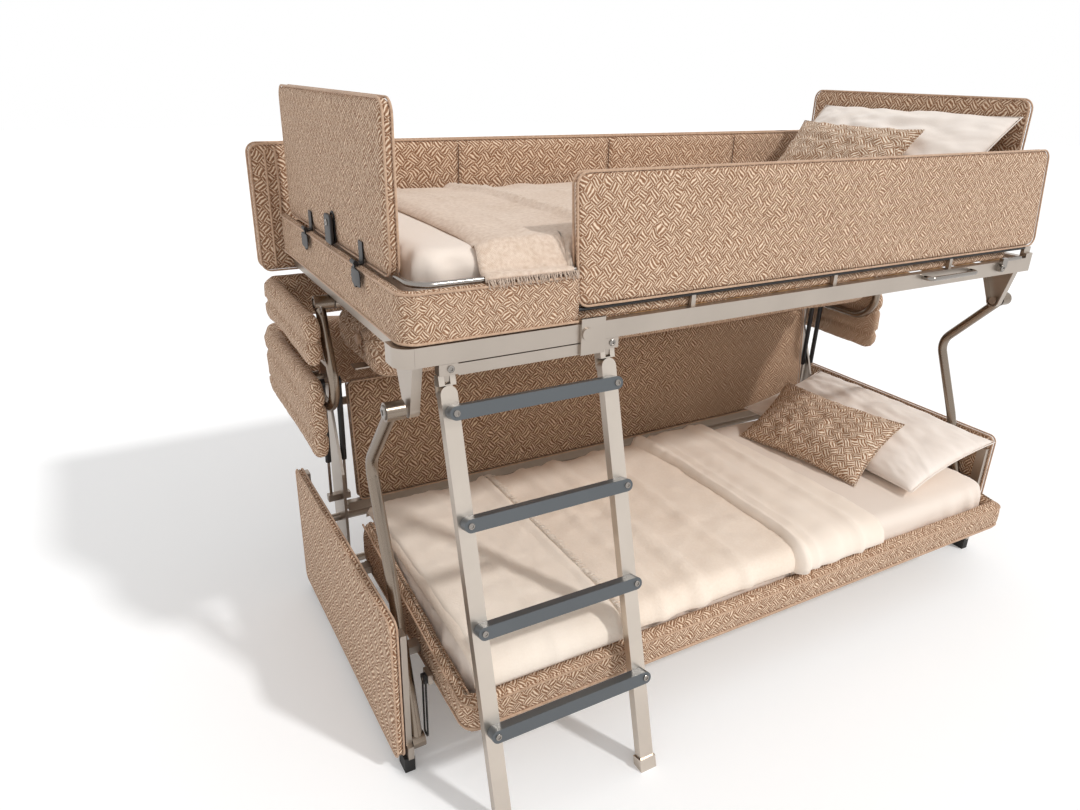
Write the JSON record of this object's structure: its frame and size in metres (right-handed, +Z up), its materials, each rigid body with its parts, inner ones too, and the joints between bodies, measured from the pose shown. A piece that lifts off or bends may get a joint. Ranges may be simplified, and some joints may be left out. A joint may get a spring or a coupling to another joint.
{
  "type": "sofa to bunk bed",
  "caption": "Sofa opened into a two-tier bunk bed on bent steel linkages, with guard, end panels, hanging back cushions, bedding and a folding ladder.",
  "frame": {"origin": "bottom centre of the overall box, on the floor", "axes": "+X along the beds towards the pillows, +Y towards the back cushions, +Z up"},
  "size_m": [2.1, 1.364, 1.4573],
  "materials": {
    "weave_fabric": "herringbone weave upholstery",
    "liner_fabric": "plain matt backing cloth",
    "mattress_fabric": "quilted ticking",
    "bedding_fabric": "soft cotton bedding",
    "throw_fabric": "knitted throw with a fringe",
    "cushion_fabric": "woven cushion cover",
    "warm_steel": "satin champagne grey paint",
    "chrome_steel": "polished",
    "ladder_metal": "satin",
    "rung_metal": "satin blue grey",
    "black_metal": "satin black",
    "rubber_black": "matt",
    "birch_wood": "clear finish"
  },
  "bodies": {
    "base": {"side_frame_left": "warm_steel", "side_frame_right": "warm_steel", "arm_panel_left": "weave_fabric", "arm_panel_right": "weave_fabric", "rubber_feet": "rubber_black", "rear_frame": "warm_steel", "bed_frame": "warm_steel", "bed_slats": "birch_wood", "bed_band": "weave_fabric", "lower_mattress": "mattress_fabric", "lower_duvet": "bedding_fabric", "lower_turndown": "bedding_fabric", "lower_throw": "throw_fabric", "lower_pillow": "bedding_fabric", "lower_cushion": "cushion_fabric"},
    "latch_left": {"foot_latch_left": "black_metal"},
    "latch_right": {"foot_latch_right": "black_metal"},
    "seat_back": {"seat_panel": "weave_fabric", "seat_rail": "warm_steel"},
    "front_struts": {"front_strut_left": "warm_steel", "front_strut_right": "warm_steel"},
    "rear_links": {"rear_link_left": "warm_steel", "rear_link_right": "warm_steel"},
    "spring_bodies": {"gas_springs": "black_metal"},
    "upper_deck": {"deck_front_rail": "warm_steel", "deck_frame": "warm_steel", "deck_slats": "birch_wood", "fascia": "weave_fabric", "mattress_bar": "chrome_steel", "upper_mattress": "mattress_fabric", "upper_duvet": "bedding_fabric", "upper_throw": "throw_fabric", "upper_pillow": "bedding_fabric", "upper_cushion": "cushion_fabric", "back_board": "weave_fabric", "back_roll": "weave_fabric", "back_flap": "weave_fabric", "back_straps": "black_metal", "bolster": "weave_fabric", "bolster_liner": "liner_fabric", "deck_brackets": "warm_steel", "grab_handle": "chrome_steel", "hinge_tabs": "black_metal", "ladder_hanger": "warm_steel"},
    "guard": {"guard_panel": "weave_fabric", "guard_bar": "black_metal"},
    "end_left": {"end_panel_left": "weave_fabric", "end_hinge_left": "black_metal"},
    "end_right": {"end_panel_right": "weave_fabric", "end_hinge_right": "black_metal"},
    "lever_left": {"lock_lever_left": "chrome_steel"},
    "lever_right": {"lock_lever_right": "chrome_steel"},
    "release": {"release_lever": "chrome_steel"},
    "ladder_head": {"ladder_sockets": "ladder_metal"},
    "ladder_left": {"ladder_rail_left": "ladder_metal"},
    "ladder_right": {"ladder_rail_right": "ladder_metal"},
    "rung_1": {"ladder_rung_1": "rung_metal"},
    "rung_2": {"ladder_rung_2": "rung_metal"},
    "rung_3": {"ladder_rung_3": "rung_metal"},
    "rung_4": {"ladder_rung_4": "rung_metal"}
  },
  "joints": [
    {"name": "rear_link_swing", "type": "hinge", "parent": "base", "child": "rear_links", "pos_m": [0, 0.39, 0.69], "axis": [1, 0, 0], "range_deg": [0, 16]},
    {"name": "front_strut_swing", "type": "hinge", "parent": "base", "child": "front_struts", "pos_m": [0, -0.408, 0.07], "axis": [1, 0, 0], "range_deg": [0, 6]},
    {"name": "deck_tilt", "type": "hinge", "parent": "front_struts", "child": "upper_deck", "pos_m": [0, -0.355, 0.878], "axis": [1, 0, 0], "range_deg": [-14, 0]},
    {"name": "spring_stroke", "type": "slide", "parent": "base", "child": "spring_bodies", "axis": [0, 0.0277, -0.9996], "range_m": [0, 0.022]},
    {"name": "seat_back_tilt", "type": "hinge", "parent": "base", "child": "seat_back", "pos_m": [0, 0.3, 0.305], "axis": [1, 0, 0], "range_deg": [-4, 0]},
    {"name": "guard_fold", "type": "hinge", "parent": "upper_deck", "child": "guard", "pos_m": [0, -0.412, 1.0526], "axis": [1, 0, 0], "range_deg": [0, 80]},
    {"name": "end_left_fold", "type": "hinge", "parent": "upper_deck", "child": "end_left", "pos_m": [-0.992, 0, 1.137], "axis": [0, -1, 0], "range_deg": [0, 90]},
    {"name": "end_right_fold", "type": "hinge", "parent": "upper_deck", "child": "end_right", "pos_m": [0.992, 0, 1.137], "axis": [0, 1, 0], "range_deg": [0, 90]},
    {"name": "lever_left_swing", "type": "hinge", "parent": "end_left", "child": "lever_left", "pos_m": [-0.977, 0.035, 1.184], "axis": [1, 0, 0], "range_deg": [0, 75]},
    {"name": "lever_right_swing", "type": "hinge", "parent": "end_right", "child": "lever_right", "pos_m": [0.977, 0.035, 1.184], "axis": [1, 0, 0], "range_deg": [0, 75]},
    {"name": "release_turn", "type": "hinge", "parent": "upper_deck", "child": "release", "pos_m": [0.812, -0.43, 1.009], "axis": [0, 1, 0], "range_deg": [0, 35]},
    {"name": "latch_left_swing", "type": "hinge", "parent": "base", "child": "latch_left", "pos_m": [-0.956, -0.372, 0.206], "axis": [1, 0, 0], "range_deg": [0, 60]},
    {"name": "latch_right_swing", "type": "hinge", "parent": "base", "child": "latch_right", "pos_m": [0.956, -0.372, 0.206], "axis": [1, 0, 0], "range_deg": [0, 60]},
    {"name": "ladder_tilt", "type": "hinge", "parent": "upper_deck", "child": "ladder_head", "pos_m": [-0.711, -0.40618, 0.945], "axis": [-1, 0, 0], "range_deg": [0, 55]},
    {"name": "ladder_fold", "type": "hinge", "parent": "ladder_head", "child": "ladder_right", "pos_m": [-0.525, -0.41363, 0.918], "axis": [0, -0.964, 0.2661], "range_deg": [0, 70]},
    {"name": "ladder_left_fold", "type": "hinge", "parent": "ladder_head", "child": "ladder_left", "pos_m": [-0.897, -0.41363, 0.918], "axis": [0, -0.964, 0.2661], "range_deg": [0, 70]},
    {"name": "rung_1_turn", "type": "hinge", "parent": "ladder_right", "child": "rung_1", "pos_m": [-0.525, -0.42274, 0.885], "axis": [0, -0.964, 0.2661], "range_deg": [-70, 0]},
    {"name": "rung_2_turn", "type": "hinge", "parent": "ladder_right", "child": "rung_2", "pos_m": [-0.525, -0.48302, 0.6666], "axis": [0, -0.964, 0.2661], "range_deg": [-70, 0]},
    {"name": "rung_3_turn", "type": "hinge", "parent": "ladder_right", "child": "rung_3", "pos_m": [-0.525, -0.5433, 0.4482], "axis": [0, -0.964, 0.2661], "range_deg": [-70, 0]},
    {"name": "rung_4_turn", "type": "hinge", "parent": "ladder_right", "child": "rung_4", "pos_m": [-0.525, -0.60357, 0.2298], "axis": [0, -0.964, 0.2661], "range_deg": [-70, 0]}
  ],
  "couplings": [
    {"joint": "front_strut_swing", "follows": "rear_link_swing", "ratio": 0.34},
    {"joint": "deck_tilt", "follows": "rear_link_swing", "ratio": -0.828},
    {"joint": "spring_stroke", "follows": "rear_link_swing", "m_per_rad": 0.0749},
    {"joint": "seat_back_tilt", "follows": "rear_link_swing", "ratio": -0.2},
    {"joint": "ladder_left_fold", "follows": "ladder_fold", "ratio": 1},
    {"joint": "rung_1_turn", "follows": "ladder_fold", "ratio": -1},
    {"joint": "rung_2_turn", "follows": "ladder_fold", "ratio": -1},
    {"joint": "rung_3_turn", "follows": "ladder_fold", "ratio": -1},
    {"joint": "rung_4_turn", "follows": "ladder_fold", "ratio": -1}
  ]
}
